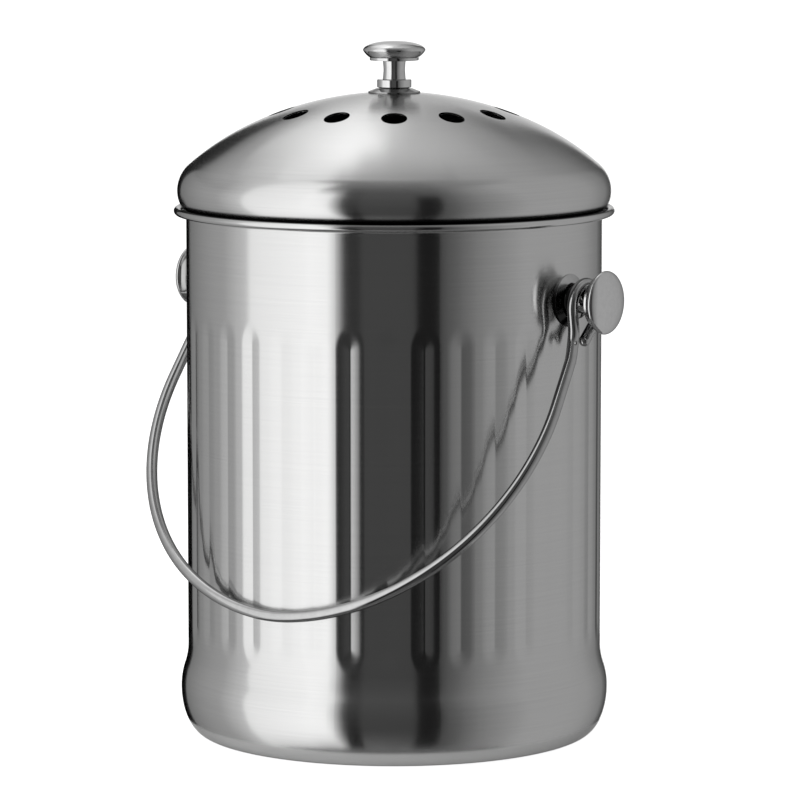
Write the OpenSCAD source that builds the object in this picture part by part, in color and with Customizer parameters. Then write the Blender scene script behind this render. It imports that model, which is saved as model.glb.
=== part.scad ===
// Countertop compost pail in stainless steel: a fluted pail with a rolled rim,
// a lift-off domed lid with air vents, a hooked wire bail on two side posts,
// and a charcoal filter in a plastic tray inside the lid.
// Millimetres, +Z up. The origin is the centre of the base. The side posts lie
// along X, and the bail leans on the wall towards -Y.

/* [Pail] */
// Outer radius of the straight wall
wall_r = 86.7; // [84:0.1:90]
// Thickness of the pressed steel sheet
sheet_t = 0.6; // [0.5:0.1:0.8]
// Height of the rolled rim above the table
pail_h = 221.3; // [210:0.1:240]
// Outer radius of the rolled rim, beyond the wall
rim_out = 5.15; // [4.6:0.05:6]
// Thickness of the rolled bead at the rim
bead_d = 3.2; // [2.8:0.1:3.6]
// Radius of the flat bottom
base_r = 79.8; // [76:0.1:81]
// How far the foot swells beyond the wall
foot_out = 3; // [2:0.1:4]
// Height of the widest part of the foot
foot_z = 19.5; // [15:0.5:22]
// Height at which the foot has run out into the wall
foot_top_z = 37.8; // [34:0.1:38]

/* [Flutes] */
// Number of upright flutes pressed into the wall
flute_count = 36; // [24:1:40]
// Width of a flute across the wall
flute_w = 12.4; // [8:0.1:13]
// Depth of a flute
flute_depth = 0.45; // [0.35:0.05:0.8]
// Height of the lower end of the flutes
flute_z0 = 38.7; // [38.5:0.1:50]
// Height of the upper end of the flutes
flute_z1 = 180; // [150:1:180]
// Turn of the first flute from the right-hand post
flute_turn = 2.8; // [0:0.1:9.9]

/* [Lid] */
// Widest radius of the lid
lid_r = 90.4; // [89.5:0.1:91]
// Height of the lid's widest line above the rim
lid_rise = 6.6; // [5:0.1:8]
// Radius of the dome's crown
crown_r = 140.6; // [135:0.1:150]
// Radius of the dome's flank
flank_r = 111.5; // [100:0.5:120]
// Radius of the shoulder that turns into the side
shoulder_r = 14.4; // [12:0.1:18]
// Slope at which the shoulder begins
shoulder_slope = 41; // [38:0.5:44]
// Radius of the skirt that turns in below the widest line
skirt_r = 12.6; // [11:0.1:16]
// Number of air vents
vent_count = 12; // [6:1:16]
// Diameter of an air vent
vent_d = 10.3; // [5:0.1:12]
// Radius of the ring of vents
vent_ring_r = 46.8; // [35:0.1:55]
// Turn of the first vent from the right-hand post
vent_turn = 4.6; // [0:0.1:29.9]
// Outer radius of the plug ring that drops into the mouth
plug_r = 85.3; // [84.8:0.1:85.6]
// Depth of the plug ring below the lid's edge
plug_h = 12.5; // [10:0.5:15]

/* [Knobs] */
// Widest radius of a knob
knob_r = 13; // [11:0.1:15]
// Radius of the lip under the knob's bowl
knob_lip_r = 10.2; // [9:0.1:11]
// Radius of the knob's stem
stem_r = 4.7; // [4:0.1:5]
// Radius of the collar at the foot of the stem
collar_r = 7.15; // [6.5:0.05:7.4]
// Widest radius of the cone washer under a knob
cone_r = 10.8; // [9:0.1:12]
// Radius of the cone washer's flat top
cone_top_r = 7.5; // [7.4:0.1:8]
// Height of the side posts' axis below the rim
post_drop = 34.5; // [33:0.1:40]

/* [Bail] */
// Diameter of the bail wire
wire_d = 4.7; // [4:0.1:4.8]
// Distance from the posts' axis down to the hooks' axis, as the hooks hang on the stems
hook_drop = 2.5; // [1.5:0.1:2.7]
// Length from the hooks' axis to the middle of the bail's lowest wire
bail_drop = 152.4; // [148:0.1:158]
// Bend radius of the short nose at the middle of the bail
nose_r = 71; // [60:1:95]
// Half of the angle that the nose turns through
nose_turn = 7; // [4:0.5:12]
// Bend radius of the bail's sides
bail_r = 100.1; // [100.1:0.1:102]
// Angle at which each side runs into its straight arm
bail_turn = 93.5; // [92:0.5:93.5]
// Bend radius of the hook that goes round a post
hook_r = 9.8; // [9.8:0.1:10.5]
// Length from the hooks' axis to the kink below the hook
hook_neck = 14; // [13:0.1:20]
// Angle by which the hook turns in past the straight before its tail
hook_over = 13; // [0:1:15]
// Length of the hook's straight tail
hook_tail = 9.3; // [5:0.1:12]
// Gap between the resting bail and the wall
bail_gap = 0.3; // [0.2:0.1:1]

/* [Fasteners] */
// Diameter of the three fixing screws
screw_d = 4; // [3:0.1:4]
// Radius of a screw's pan head
head_r = 4; // [3.5:0.1:4.5]
// Radius of the flat steel washers
flat_washer_r = 6; // [5:0.1:6]
// Thickness of the rubber seal washers
seal_t = 1.3; // [1:0.1:2]

/* [Filter] */
// Outer radius of the filter tray
tray_r = 84.2; // [83:0.1:84.2]
// Height of the filter tray
tray_h = 10.9; // [9:0.1:11]
// Thickness of the charcoal filter
filter_t = 7; // [5:0.5:8]

/* [Hidden] */
$fn = 180;

// Pail
foot_r = wall_r + foot_out;
foot_rise = foot_top_z - foot_z;
foot_bend_r = (foot_rise * foot_rise + foot_out * foot_out) / (4 * foot_out);
foot_bend = asin(foot_rise / 2 / foot_bend_r);
bead_r = bead_d / 2;
bead_at = [wall_r + rim_out - bead_r, pail_h - bead_r];
flange_bend_r = 1;
flange_bend_at = [wall_r + flange_bend_r, pail_h - bead_d - flange_bend_r];
seat_z = pail_h - bead_d + sheet_t;
seat_meets_bead = 180 + asin((bead_at[1] - seat_z) / bead_r);
above_rim = 1;

// Flutes: each is a shallow arc of a large cylinder with rounded ends
half_w = flute_w / 2;
flute_sag = flute_depth - (wall_r - sqrt(wall_r * wall_r - half_w * half_w));
flute_cut_r = (half_w * half_w + flute_sag * flute_sag) / (2 * flute_sag);
flute_axis_r = wall_r - flute_depth + flute_cut_r;
flute_end = sqrt(2 * flute_cut_r * flute_depth - flute_depth * flute_depth);
flute_end_turn = 10;
flute_back = 3;
flute_wedge = 9.4;

// Posts and their stack of washers and screw; s runs outwards from the wall
post_z = pail_h - post_drop;
cone_h = 1.5;
cone_edge_h = 0.25;
cone_sink = 1;
collar_top = 5.2;
stem_top = 13.1;
lip_top = 14.3;
knob_wide = 17.6;
bowl_r = 12;
bowl_chord = [knob_r - knob_lip_r, knob_wide - lip_top];
bowl_in = [-bowl_chord[1], bowl_chord[0]] / norm(bowl_chord);
bowl_at = [knob_lip_r, lip_top] + bowl_chord / 2
    + sqrt(bowl_r * bowl_r - bowl_chord * bowl_chord / 4) * bowl_in;
bowl_from = atan2(lip_top - bowl_at[1], knob_lip_r - bowl_at[0]);
bowl_to = atan2(knob_wide - bowl_at[1], knob_r - bowl_at[0]);
knob_edge = 18.7;
knob_top = 21.1;
knob_edge_in = 0.9;
collar_round = 0.6;
stem_waist = 0.25;
bore_r = screw_d / 2 + 0.05;
bore_end = 12;
clear_r = screw_d / 2 + 0.25;
flat_washer_t = 0.8;
head_h = 2.6;
screw_reach = 11;
recess_w = 1.1;
recess_l = 4.6;
recess_h = 1.5;

// Lid: arcs from the crown down to the skirt's edge
lid_wide_z = pail_h + lid_rise;
shoulder_at = [lid_r - shoulder_r, lid_wide_z];
flank_at = [
    shoulder_at[0] - (flank_r - shoulder_r) * sin(shoulder_slope),
    shoulder_at[1] - (flank_r - shoulder_r) * cos(shoulder_slope)
];
flank_slope = asin(flank_at[0] / (crown_r - flank_r));
crown_z = flank_at[1] - (crown_r - flank_r) * cos(flank_slope);
lid_top_z = crown_z + crown_r;
skirt_at = [lid_r - skirt_r, lid_wide_z];
lid_gap = 0.2;
lid_edge_z = seat_z + lid_gap + sheet_t;
washer_clear = 0.1;
flat_washer_sag = crown_r - sqrt(crown_r * crown_r - flat_washer_r * flat_washer_r) + washer_clear;

// Filter tray under the lid
tray_z = lid_edge_z - plug_h + sheet_t;
tray_floor_t = 1.8;
tray_wall_r = 82;
tray_wall_t = 1.5;
tray_rim_w = 6;
tray_hub_r = 9;
tray_ring_r = 45;
tray_rib_w = 3;
tray_spokes = 8;
filter_r = tray_wall_r - tray_wall_t - 0.3;

// Bail
wire_r = wire_d / 2;
bail_z = post_z - hook_drop;
bail_lean = asin((wall_r + wire_r + bail_gap) / bail_drop);
side_at = [(nose_r - bail_r) * sin(nose_turn), bail_drop - nose_r + (nose_r - bail_r) * cos(nose_turn)];
side_end = [side_at[0] + bail_r * sin(bail_turn), side_at[1] + bail_r * cos(bail_turn)];
hook_x = side_end[0] + (side_end[1] - hook_neck) / tan(bail_turn);
hook_dip = asin(hook_r / hook_neck);
hook_from = [hook_x, -hook_r * cos(hook_dip), -hook_r * sin(hook_dip)];
kink_at = [hook_x, 0, -hook_neck];
tail_way = [0, -sin(hook_over), -cos(hook_over)];
tail_at = [hook_x, hook_r * cos(hook_over), -hook_r * sin(hook_over)] + hook_tail * tail_way;
kink_soft = 4;
wire_sides = 16;
nose_steps = 2;
side_steps = 20;
kink_steps = 4;
hook_steps = 16;
cap_steps = 3;
cap_turn = 25;

// Points of an arc about c, from angle a0 to a1 in n steps
function arc(c, r, a0, a1, n) =
    [for (i = [0:n]) let (a = a0 + (a1 - a0) * i / n) [c[0] + r * cos(a), c[1] + r * sin(a)]];

// Outline of the pail's side from the base to the wall, moved in by t
function foot_side(t) = concat(
    [for (i = [0:8]) let (a = -90 + 90 * i / 8)
        [base_r + (foot_r - base_r - t) * cos(a), foot_z + (foot_z - t) * sin(a)]],
    arc([foot_r - foot_bend_r, foot_z], foot_bend_r - t, foot_bend / 5, foot_bend, 4),
    arc([wall_r + foot_bend_r, foot_top_z], foot_bend_r + t, 180 + foot_bend * 4 / 5, 180, 4)
);

// Outline of the lid's outer or inner face, moved in by t, from the crown to the edge
function lid_side(t) = concat(
    arc([0, crown_z], crown_r - t, 90, 90 - flank_slope, 8),
    arc(flank_at, flank_r - t, 90 - flank_slope - 4, 90 - shoulder_slope, 3),
    arc(shoulder_at, shoulder_r - t, 90 - shoulder_slope - 6, 0, 7),
    arc(skirt_at, skirt_r - t, -8, -asin((lid_wide_z - lid_edge_z) / (skirt_r - t)), 4)
);

function unit(v) = v / norm(v);

// A station of the bail's wire is its place, its direction, a crosswise direction and its radius
function side_station(c, r, a) =
    [[c[0] + r * sin(a), 0, -c[1] - r * cos(a)], [cos(a), 0, sin(a)], [0, 1, 0], wire_r];
function hook_station(p, t) = [p, t, unit(cross([-1, 0, 0], t)), wire_r];
function kink_station(p, q, s) =
    hook_station(p * pow(1 - s, 2) + 2 * s * (1 - s) * kink_at + q * s * s,
                 unit((1 - s) * (kink_at - p) + s * (q - kink_at)));
function tail_station(a) =
    [tail_at + wire_r * sin(a) * tail_way, tail_way, unit(cross([-1, 0, 0], tail_way)), wire_r * cos(a)];

// Stations from the middle of the nose to the end of the right-hand tail
function bail_stations() =
    let (arm = unit(kink_at - [side_end[0], 0, -side_end[1]]), slant = unit(hook_from - kink_at))
    concat(
        [for (i = [0:nose_steps - 1])
            side_station([0, bail_drop - nose_r], nose_r, nose_turn * i / nose_steps)],
        [for (i = [0:side_steps])
            side_station(side_at, bail_r, nose_turn + (bail_turn - nose_turn) * i / side_steps)],
        [for (i = [0:kink_steps])
            kink_station(kink_at - kink_soft * arm, kink_at + kink_soft * slant, i / kink_steps)],
        [for (i = [0:hook_steps]) let (a = 180 + hook_dip - (180 + hook_dip + hook_over) * i / hook_steps)
            hook_station([hook_x, hook_r * cos(a), hook_r * sin(a)], [0, sin(a), -cos(a)])],
        [for (i = [0:cap_steps]) tail_station(cap_turn * i)]
    );

// Ring of points round a station
function wire_ring(s) =
    [for (j = [0:wire_sides - 1]) let (a = 360 * j / wire_sides)
        s[0] + s[3] * (cos(a) * s[2] + sin(a) * cross(s[1], s[2]))];

function mirrored(ring) = [for (p = ring) [-p[0], p[1], p[2]]];

// Places its children on a side post, with +Z pointing out from the wall
module on_side(side) {
    translate([side * wall_r, 0, post_z])
        rotate([0, side * 90, 0])
            children();
}

// Places its children on top of the lid
module on_lid() {
    translate([0, 0, lid_top_z])
        children();
}

// Cuts every flute, with its faces moved in by t
module flute_tools(t) {
    for (i = [0:flute_count - 1])
        rotate([0, 0, flute_turn + 360 * i / flute_count])
            translate([flute_axis_r, 0, 0])
                rotate([0, 0, 180 - flute_wedge / 2])
                    rotate_extrude(angle = flute_wedge, $fn = 360)
                        polygon(concat(
                            [[flute_cut_r - flute_back, flute_z0 + flute_end]],
                            arc([0, flute_z0 + flute_end], flute_cut_r + t, -flute_end_turn, 0, 3),
                            arc([0, flute_z1 - flute_end], flute_cut_r + t, 0, flute_end_turn, 3),
                            [[flute_cut_r - flute_back, flute_z1 - flute_end]]
                        ));
}

// Pressed pail: flat bottom, swelling foot, fluted wall and rolled rim in one sheet
module pail_shell() {
    color("silver")
        difference() {
            rotate_extrude()
                polygon(concat(
                    [[0, 0]],
                    foot_side(0),
                    arc(flange_bend_at, flange_bend_r, 180, 90, 4),
                    arc(bead_at, bead_r, -90, 90, 10),
                    [[0, pail_h]]
                ));
            flute_tools(0);
            difference() {
                rotate_extrude()
                    polygon(concat(
                        [[0, sheet_t]],
                        foot_side(sheet_t),
                        arc(flange_bend_at, flange_bend_r + sheet_t, 180, 90, 4),
                        arc(bead_at, bead_r, seat_meets_bead, 90, 6),
                        [[bead_at[0], pail_h + above_rim], [0, pail_h + above_rim]]
                    ));
                flute_tools(sheet_t);
            }
            on_side(1) translate([0, 0, -5]) cylinder(h = 10, r = clear_r, $fn = 48);
            on_side(-1) translate([0, 0, -5]) cylinder(h = 10, r = clear_r, $fn = 48);
        }
}

// Turned knob with collar, stem, lip and shallow bowl, drilled for its screw
module knob() {
    color("gainsboro")
        difference() {
            rotate_extrude($fn = 96)
                polygon(concat(
                    [[0, cone_h], [collar_r - collar_round, cone_h]],
                    arc([collar_r - collar_round, cone_h + collar_round], collar_round, -60, 0, 2),
                    arc([collar_r - collar_round, collar_top - collar_round], collar_round, 0, 90, 3),
                    [[stem_r, collar_top]],
                    [[stem_r - stem_waist, (collar_top + stem_top) / 2]],
                    [[stem_r, stem_top], [knob_lip_r, stem_top], [knob_lip_r, lip_top]],
                    arc(bowl_at, bowl_r, bowl_from, bowl_to, 4),
                    [[knob_r - knob_edge_in, knob_edge]],
                    [for (i = [1:6]) let (r = (knob_r - knob_edge_in) * (1 - i / 6))
                        [r, knob_top - (knob_top - knob_edge) * pow(r / (knob_r - knob_edge_in), 2)]]
                ));
            translate([0, 0, cone_h - 1])
                cylinder(h = bore_end - cone_h + 1, r = bore_r, $fn = 48);
        }
}

// Blank of a cone washer, before its back is fitted to the sheet it sits on
module cone_blank() {
    rotate_extrude($fn = 96)
        polygon([
            [clear_r, -cone_sink], [cone_r, -cone_sink], [cone_r, cone_edge_h],
            [cone_top_r, cone_h], [clear_r, cone_h]
        ]);
}

// Cone washer on a side post, its back fitted to the round wall
module side_cone_washer(side) {
    color("silver")
        difference() {
            on_side(side) cone_blank();
            translate([0, 0, post_z - 2 * cone_r])
                cylinder(h = 4 * cone_r, r = wall_r);
        }
}

// Rubber washer inside the pail, its outer face fitted to the round wall
module seal_washer(side) {
    color("dimgray")
        intersection() {
            on_side(side)
                translate([0, 0, -sheet_t - seal_t])
                    difference() {
                        cylinder(h = seal_t + sheet_t, r = flat_washer_r, $fn = 64);
                        translate([0, 0, -1]) cylinder(h = seal_t + sheet_t + 2, r = clear_r, $fn = 48);
                    }
            translate([0, 0, post_z - 2 * flat_washer_r])
                cylinder(h = 4 * flat_washer_r, r = wall_r - sheet_t);
        }
}

// Flat steel washer, its outer face at height s
module flat_washer(s) {
    color("lightgray")
        translate([0, 0, s - flat_washer_t])
            difference() {
                cylinder(h = flat_washer_t, r = flat_washer_r, $fn = 64);
                translate([0, 0, -1]) cylinder(h = flat_washer_t + 2, r = clear_r, $fn = 48);
            }
}

// Pan-head screw with a cross recess, its head bearing at height s
module pan_screw(s) {
    color("lightgray")
        difference() {
            translate([0, 0, s])
                rotate_extrude($fn = 64)
                    polygon(concat(
                        [[0, screw_reach - s], [0, -head_h]],
                        arc([head_r - 1.4, 1.4 - head_h], 1.4, -90, 0, 4),
                        [[head_r, 0], [screw_d / 2, 0], [screw_d / 2, screw_reach - s]]
                    ));
            for (turn = [0, 90])
                rotate([0, 0, turn])
                    translate([-recess_l / 2, -recess_w / 2, s - head_h - 1])
                        cube([recess_l, recess_w, recess_h + 1]);
        }
}

// Domed lid, pressed from one sheet, with a ring of air vents
module lid_shell() {
    color("silver")
        difference() {
            rotate_extrude()
                polygon(concat(
                    lid_side(0),
                    [for (i = [0:len(lid_side(sheet_t)) - 1])
                        lid_side(sheet_t)[len(lid_side(sheet_t)) - 1 - i]]
                ));
            for (i = [0:vent_count - 1])
                rotate([0, 0, vent_turn + 360 * i / vent_count])
                    translate([vent_ring_r, 0, lid_wide_z])
                        cylinder(h = lid_top_z - lid_wide_z, r = vent_d / 2, $fn = 64);
            translate([0, 0, lid_top_z - 5]) cylinder(h = 10, r = clear_r, $fn = 48);
        }
}

// Ring welded inside the lid's edge: it centres the lid in the pail's mouth
module lid_plug_ring() {
    color("lightgray")
        rotate_extrude()
            polygon([
                [plug_r - sheet_t, lid_edge_z - plug_h], [plug_r, lid_edge_z - plug_h],
                [plug_r, lid_edge_z - sheet_t],
                [skirt_at[0] + sqrt(pow(skirt_r, 2) - pow(lid_wide_z - lid_edge_z, 2)), lid_edge_z - sheet_t],
                [skirt_at[0] + sqrt(pow(skirt_r, 2) - pow(lid_wide_z - lid_edge_z, 2)), lid_edge_z],
                [plug_r - sheet_t, lid_edge_z]
            ]);
}

// Cone washer under the lid's knob, its back fitted to the crown
module lid_cone_washer() {
    color("silver")
        difference() {
            on_lid() cone_blank();
            translate([0, 0, crown_z]) sphere(r = crown_r, $fn = 360);
        }
}

// Plastic tray that holds the filter under the vents: rim, wall and open floor
module filter_tray() {
    color("dimgray")
        translate([0, 0, tray_z])
            union() {
                difference() {
                    cylinder(h = tray_floor_t, r = tray_r);
                    translate([0, 0, -1]) cylinder(h = tray_floor_t + 2, r = tray_r - tray_rim_w);
                }
                difference() {
                    cylinder(h = tray_h, r = tray_wall_r);
                    translate([0, 0, -1]) cylinder(h = tray_h + 2, r = tray_wall_r - tray_wall_t);
                }
                difference() {
                    cylinder(h = tray_floor_t, r = tray_ring_r);
                    translate([0, 0, -1]) cylinder(h = tray_floor_t + 2, r = tray_ring_r - tray_rib_w);
                }
                cylinder(h = tray_floor_t, r = tray_hub_r);
                for (i = [0:tray_spokes - 1])
                    rotate([0, 0, 360 * i / tray_spokes])
                        translate([tray_hub_r - 1, -tray_rib_w / 2, 0])
                            cube([tray_r - tray_rim_w - tray_hub_r + 2, tray_rib_w, tray_floor_t]);
            }
}

// Round pad of activated charcoal felt
module charcoal_filter() {
    color("black")
        translate([0, 0, tray_z + tray_floor_t])
            cylinder(h = filter_t, r = filter_r);
}

// Wire bail with a hook at each end, leaning against the front of the pail
module bail_handle() {
    right = [for (s = bail_stations()) wire_ring(s)];
    last = len(right) - 1;
    rings = concat([for (i = [0:last - 1]) mirrored(right[last - i])], right);
    count = len(rings);
    tail_end = tail_at + wire_r * tail_way;
    points = concat(
        [for (ring = rings) for (p = ring) p],
        [[-tail_end[0], tail_end[1], tail_end[2]], tail_end]
    );
    faces = [
        for (i = [0:count - 1])
            for (j = [0:wire_sides - 1])
                let (k = (j + 1) % wire_sides, a = i * wire_sides, b = a + wire_sides)
                each (i < count - 1
                    ? [[a + j, b + k, a + k], [a + j, b + j, b + k]]
                    : [[len(points) - 1, a + k, a + j], [len(points) - 2, j, k]])
    ];
    color("gainsboro")
        translate([0, 0, bail_z])
            rotate([-bail_lean, 0, 0])
                polyhedron(points, faces);
}

pail_shell();
on_side(-1) knob();  // left_knob
on_side(1) knob();  // right_knob
side_cone_washer(-1);  // left_cone_washer
side_cone_washer(1);  // right_cone_washer
seal_washer(-1);  // left_seal_washer
seal_washer(1);  // right_seal_washer
on_side(-1) flat_washer(-sheet_t - seal_t);  // left_flat_washer
on_side(1) flat_washer(-sheet_t - seal_t);  // right_flat_washer
on_side(-1) pan_screw(-sheet_t - seal_t - flat_washer_t);  // left_screw
on_side(1) pan_screw(-sheet_t - seal_t - flat_washer_t);  // right_screw
bail_handle();
lid_shell();
lid_plug_ring();
on_lid() knob();  // lid_knob
lid_cone_washer();
on_lid() flat_washer(-sheet_t - flat_washer_sag);  // lid_flat_washer
on_lid() pan_screw(-sheet_t - flat_washer_sag - flat_washer_t);  // lid_screw
filter_tray();
charcoal_filter();
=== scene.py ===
"""Looks of a countertop compost pail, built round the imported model.

Finer meshes stand for the pressed steel, the knobs, the bail and the filter. Lengths are
written in millimetres and turned to metres as each mesh is made. +Z is up, the side posts
lie along X, and the bail rests against the front, towards -Y.
"""

import math

import bpy
import numpy as np
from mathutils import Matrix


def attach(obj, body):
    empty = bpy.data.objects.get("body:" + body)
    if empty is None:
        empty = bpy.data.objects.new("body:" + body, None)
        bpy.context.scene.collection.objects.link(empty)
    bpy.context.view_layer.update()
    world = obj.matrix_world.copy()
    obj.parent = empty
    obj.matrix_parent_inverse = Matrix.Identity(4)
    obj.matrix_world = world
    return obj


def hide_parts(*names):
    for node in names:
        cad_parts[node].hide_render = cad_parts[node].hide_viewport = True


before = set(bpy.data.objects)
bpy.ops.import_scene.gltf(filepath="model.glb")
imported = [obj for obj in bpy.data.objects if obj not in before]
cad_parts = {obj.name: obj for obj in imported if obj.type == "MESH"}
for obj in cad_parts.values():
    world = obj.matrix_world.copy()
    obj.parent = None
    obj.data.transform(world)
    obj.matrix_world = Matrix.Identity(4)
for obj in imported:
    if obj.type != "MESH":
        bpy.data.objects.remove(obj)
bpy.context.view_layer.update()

# Metres in a millimetre, and the distance under which two points are one
MM = 0.001
TOUCH = 1e-6

# Steps of a fillet, and the most that it may take of a side next to it
FILLET_STEPS = 5
FILLET_SHARE = 0.49

# Pail, with the radii of the mesh's rings on its flat bottom
WALL_R = 86.7
SHEET = 0.6
PAIL_H = 221.3
RIM_OUT = 5.15
BEAD_D = 3.2
BASE_R = 79.8
BOTTOM_RINGS = (BASE_R / 2, BASE_R - 2)
FOOT_OUT = 3.0
FOOT_Z = 19.5
FOOT_TOP = 37.8
FLANGE_BEND = 1.0
SEAT_Z = PAIL_H - BEAD_D + SHEET

# Flutes. The mesh has columns at these shares of a flute's half width, and close rows at its
# ends that run on a little past them.
FLUTES = 36
FLUTE_W = 12.4
FLUTE_DEPTH = 0.42
FLUTE_Z0 = 38.7
FLUTE_Z1 = 180.0
FLUTE_TURN = math.radians(2.8)
FLUTE_END = 10.0
FLUTE_EDGE = 0.4
FLUTE_CREASE = 0.04
FLUTE_COLUMNS = (0.0, 0.05, 0.12, 0.25, 0.4, 0.55, 0.68, 0.8, 0.92, 1.0)
FLUTE_END_ROWS = 16
ROWS_PAST_INSIDE = 1.0
ROWS_PAST_TOP = 0.5

# Lid
LID_R = 90.4
LID_RISE = 6.6
CROWN_R = 140.6
FLANK_R = 111.5
SHOULDER_R = 14.4
SHOULDER_SLOPE = 41.0
SKIRT_R = 12.6
PLUG_R = 85.3
PLUG_H = 12.5
LID_GAP = 0.2
LID_EDGE = SEAT_Z + LID_GAP + SHEET

# Vents. Each lies in a cell of its own, one step of a ring on the crown that reaches as far
# inwards as outwards. A cell has so many points on each of its four sides, and rings of points
# at these shares of the way from the vent's edge to its border.
VENTS = 12
VENT_R = 5.15
VENT_RING = 46.8
VENT_TURN = math.radians(4.6)
VENT_EDGE = 0.18
CELL_REACH = 9.0
CELL_IN = VENT_RING - CELL_REACH
CELL_OUT = VENT_RING + CELL_REACH
CELL_STEPS = 16
CELL_RINGS = (0, 0.06, 0.16, 0.32, 0.52, 0.75, 1)

# Rings of a vent's wall, from the lid's outer face to its inner one: how far out from the
# vent's radius, as a share of its edge, how far below the outer face, and the level and the
# upward part of the normal.
VENT_WALL = (
    (0.3, 0.08, 0.6, 0.8),
    (0, 0.25, 1, 0),
    (0, SHEET - 0.25, 1, 0),
    (0.3, SHEET - 0.08, 0.6, -0.8),
)

# Knobs and their washers, as heights above the sheet and radii
KNOB_R = 13.0
LIP_R = 10.2
STEM_R = 4.7
STEM_FLARE = 0.05
STEM_WAIST = 0.25
COLLAR_R = 7.15
CONE_R = 10.8
CONE_TOP_R = 7.5
CONE_H = 1.5
CONE_EDGE = 0.25
CONE_CHAMFER = 0.05
CONE_BACK = -1.0
GROOVE_R = COLLAR_R - 0.8
GROOVE_Z = CONE_H + 0.4
KNOB_FOOT = CONE_H + 0.1
COLLAR_TOP = 5.2
STEM_TOP = 13.1
LIP_TOP = 14.3
BOWL_R = 7.5
BOWL_SOFT = 2.5
KNOB_WIDE = 17.25
KNOB_TOP = 21.095
FACE_FULL = 2.1
FACE_START = 86
BORE_R = 2.05
BORE_END = 12.0
BORE_POINT = 0.9
CLEAR_R = 2.25
POST_Z = PAIL_H - 34.5
WASHER_GAP = 0.02

# A closed outline is drawn to this far from its first point
LOOP_STEP = 0.1

# Bail
WIRE_R = 2.35
WIRE_SIDES = 32
BAIL_Z = POST_Z - 2.5
BAIL_DROP = 152.4
NOSE_R = 71.0
NOSE_TURN = math.radians(7)
BAIL_R = 100.1
BAIL_TURN = math.radians(93.5)
HOOK_R = 9.8
HOOK_NECK = 14.0
HOOK_OVER = math.radians(13)
HOOK_TAIL = 9.3
KINK_SOFT = 4.0
TAIL_CAP = np.radians([20, 40, 60, 78])
BAIL_GAP = 0.3
BAIL_SHIFT = 1.7
BAIL_SHIFT_WAY = 12.0
BAIL_LEAN = math.asin((WALL_R + WIRE_R + BAIL_GAP) / BAIL_DROP)

# Filter, a felt pad a little smaller than the solid. Its face, which is all that lies this near
# to the top, is dished and wavy.
TRAY_FLOOR = 1.8
FILTER_T = 7.0
FILTER_R = 80.2
FELT_FACE = 0.8
FELT_EDGE = 1.6
FELT_LIFT = 0.05
FELT_SLACK = 0.2
FELT_MIDDLE = 8.0
FELT_DISH = 0.15
FELT_WAVE = 0.12

# Camera, placed in metres, and fitted to the photograph's rim, lid, posts and base
CAMERA_AT = (1.1161, -1.6137, 0.3838)
CAMERA_TURN = math.radians(34.6)
CAMERA_DOWN = math.radians(7.09)
CAMERA_REACH = 50
LENS_MM = 212.4
SENSOR_MM = 36.0

# Floor: the tabletop is a disc with a pinhole in it, so that it is a ring as the floor is
FLOOR_Z = -0.05
TABLE_HOLE_R = 1
TABLE_R = 91
FLOOR_R = 6000


def arc(centre, radius, start, end, steps):
    """Points of an arc, its angles in degrees."""
    a = np.radians(np.linspace(start, end, steps + 1))
    return np.stack([centre[0] + radius * np.cos(a), centre[1] + radius * np.sin(a)], 1)


def line(p, q, steps):
    """Points from p to q, both ends included."""
    t = np.linspace(0, 1, steps + 1)[:, None]
    return np.asarray(p, float) * (1 - t) + np.asarray(q, float) * t


def bent(start, corner, end, steps):
    """Points of a curve that leaves start towards a corner and comes from it to end."""
    t = np.linspace(0, 1, steps + 1)[:, None]
    return start * (1 - t) ** 2 + 2 * t * (1 - t) * corner + end * t ** 2


def whole_turn(steps):
    """Angles of even steps round a circle."""
    return np.linspace(0, 2 * math.pi, steps, endpoint=False)


def unit(v):
    """Vectors made one long."""
    return v / np.maximum(np.linalg.norm(v, axis=-1, keepdims=True), 1e-12)


def chain(*stretches):
    """Joins stretches of points, dropping a point that repeats the one before it."""
    points = np.concatenate([np.atleast_2d(np.asarray(s, float)) for s in stretches])
    keep = np.r_[True, np.linalg.norm(np.diff(points, axis=0), axis=1) > TOUCH]
    return points[keep]


def filleted(corners):
    """A path through corners (x, y, radius), each corner between the ends rounded to its radius."""
    at = np.array([corner[:2] for corner in corners], float)
    out = [at[:1]]
    for before, here, after, (_, _, radius) in zip(at, at[1:], at[2:], corners[1:]):
        if radius == 0:
            out.append(here[None])
            continue
        before_len, after_len = np.linalg.norm(before - here), np.linalg.norm(after - here)
        back, on = (before - here) / before_len, (after - here) / after_len
        half = math.acos(max(-1.0, min(1.0, float(back @ on)))) / 2
        reach = min(radius / math.tan(half), FILLET_SHARE * before_len, FILLET_SHARE * after_len)
        out.append(bent(here + reach * back, here, here + reach * on, FILLET_STEPS))
    return chain(*out, at[-1:])


def make_mesh(name, points, faces, normals):
    """A smooth mesh object from points in millimetres, with its own normals."""
    mesh = bpy.data.meshes.new(name)
    mesh.from_pydata((np.asarray(points, float) * MM).tolist(), [], faces)
    mesh.validate()
    mesh.shade_smooth()
    mesh.normals_split_custom_set_from_vertices(np.asarray(normals, float).tolist())
    obj = bpy.data.objects.new(name, mesh)
    bpy.context.scene.collection.objects.link(obj)
    return obj


def wrapped_quads(at):
    """Faces between the rows of a grid of point numbers whose columns wrap."""
    a, b = at[:-1], at[1:]
    return np.stack([a, np.roll(a, -1, 1), np.roll(b, -1, 1), b], -1).reshape(-1, 4)


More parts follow.
